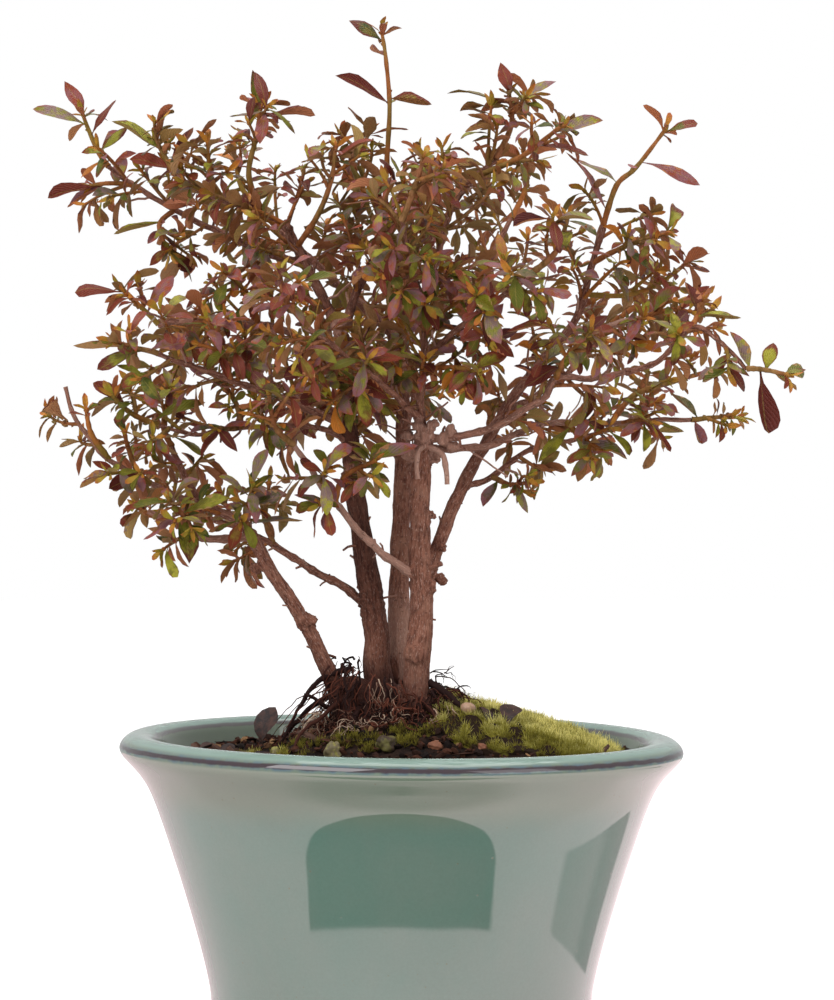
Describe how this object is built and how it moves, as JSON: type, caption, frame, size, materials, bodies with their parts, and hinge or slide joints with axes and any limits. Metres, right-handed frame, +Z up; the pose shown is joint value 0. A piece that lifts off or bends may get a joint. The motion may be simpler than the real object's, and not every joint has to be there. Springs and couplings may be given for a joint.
{
  "type": "potted bonsai tree",
  "caption": "Satsuki azalea bonsai: a clump of slender stems with small leaves on a mossy mound of soil, in a round flared glazed pot with a rolled lip and a foot ring.",
  "frame": {"origin": "on the pot's axis, at the underside of its foot ring", "axes": "+Z up; +Y away from the front; +X to the right seen from the front"},
  "size_m": [0.2826, 0.2032, 0.3741],
  "materials": {
    "glaze": "glossy celadon glaze with fine specks, breaking to dark purple-brown and blue along the lip",
    "drain_plastic": "black moulded mesh",
    "clip_wire": "plain drawn wire",
    "soil": "damp dark granular soil with roots and shards",
    "moss": "short yellow-green moss",
    "bark": "finely fissured red-brown bark",
    "pebble": "rough, partly mossy stone",
    "chip": "dry curled bark and dead leaf",
    "leaf_green": "satin green leaf, paler beneath",
    "leaf_bronze": "satin bronze and purple-red leaf, grey-purple beneath"
  },
  "bodies": {
    "root": {"pot": "glaze", "drainage_mesh": "drain_plastic", "mesh_clip": "clip_wire", "soil": "soil", "moss": "moss", "wood": "bark", "pebble_mossy": "pebble", "pebble_dark": "pebble", "bark_chip_large": "chip", "bark_chip_small": "chip", "dead_leaf": "chip", "low_left_twig": "leaf_green", "low_left_rosette": "leaf_bronze", "low_left_hanging": "leaf_green", "low_left_elbow": "leaf_green", "left_curled": "leaf_bronze", "left_dark_end": "leaf_bronze", "left_dark_middle": "leaf_green", "side_end": "leaf_green", "side_middle": "leaf_green", "cross_end": "leaf_green", "cross_middle": "leaf_green", "left_middle_end": "leaf_bronze", "left_front_end": "leaf_bronze", "left_front_middle": "leaf_bronze", "left_middle_rise": "leaf_bronze", "left_middle_back": "leaf_green", "top_far_left": "leaf_bronze", "top_far_left_low": "leaf_bronze", "top_left_under": "leaf_green", "top_left_tip": "leaf_bronze", "top_left_middle": "leaf_green", "top_shoot_left": "leaf_bronze", "top_shoot_fork": "leaf_green", "top_shoot_tall": "leaf_bronze", "top_shoot_neighbour": "leaf_bronze", "top_right_shoot": "leaf_bronze", "top_right_outer": "leaf_bronze", "top_middle": "leaf_bronze", "top_leader": "leaf_bronze", "upper_right_tip": "leaf_bronze", "upper_right_middle": "leaf_bronze", "upper_right_low": "leaf_bronze", "stub_end": "leaf_bronze", "far_right_end": "leaf_green", "far_right_middle": "leaf_green", "right_two_end": "leaf_green", "right_two_rise": "leaf_bronze", "right_two_hanging": "leaf_green", "right_three_end": "leaf_green", "right_three_hanging": "leaf_green", "right_one_end": "leaf_bronze", "leader_right": "leaf_bronze", "front_left_end": "leaf_bronze", "front_right_end": "leaf_bronze", "back_left_end": "leaf_green", "back_right_end": "leaf_green", "back_middle_end": "leaf_green", "back_low_left_end": "leaf_green", "back_low_right_end": "leaf_green"}
  },
  "joints": []
}
